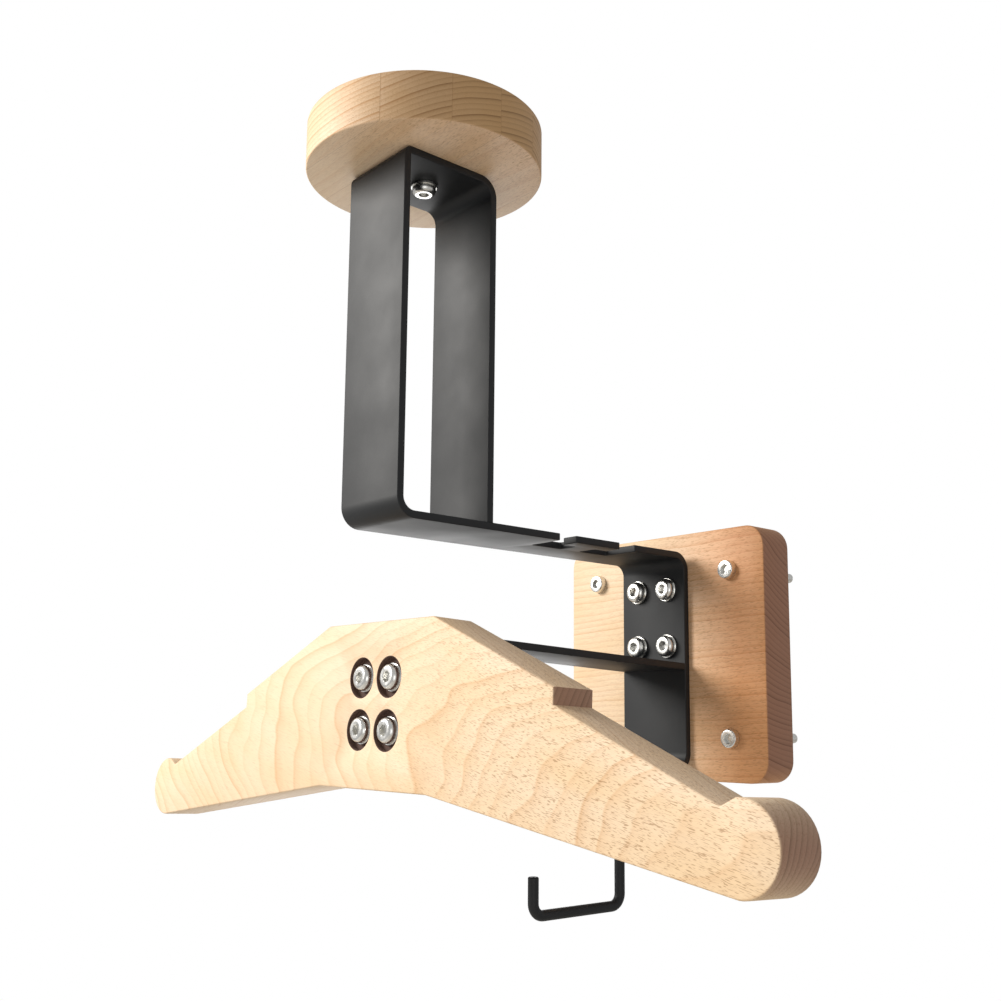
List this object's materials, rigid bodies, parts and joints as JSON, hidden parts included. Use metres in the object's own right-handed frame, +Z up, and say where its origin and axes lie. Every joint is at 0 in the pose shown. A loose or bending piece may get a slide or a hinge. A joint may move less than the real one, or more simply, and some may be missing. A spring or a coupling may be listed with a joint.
{
  "type": "bicycle wall rack",
  "caption": "Wall rack with a bent black steel frame on a beech plate, a round helmet rest on top, a wide wooden hanger in front, a notched strap hook and a rod hook below.",
  "frame": {"origin": "on the wall behind the frame's middle, at the wall plate's mid height, on the plate's back face", "axes": "+X to the right along the wall, +Y into the wall, +Z up"},
  "size_m": [0.482, 0.311, 0.426],
  "materials": {
    "beech": "sanded, clear matt oil",
    "black_steel": "satin black powder coat",
    "zinc": "zinc plated",
    "brass": "plain"
  },
  "bodies": {
    "root": {"wall_plate": "beech", "steel_frame": "black_steel", "helmet_disc": "beech", "jacket_hanger": "beech", "rod_hook": "black_steel", "wall_screws": "zinc", "frame_screws": "zinc", "frame_washers": "zinc", "frame_inserts": "brass", "hanger_bolts": "zinc", "hanger_washers": "zinc", "hanger_back_washers": "zinc", "hanger_nuts": "zinc", "disc_bolt": "zinc", "disc_washer": "zinc", "disc_insert": "brass", "hook_nut_upper": "zinc", "hook_washer_upper": "zinc", "hook_washer_lower": "zinc", "hook_nut_lower": "zinc"}
  },
  "joints": []
}
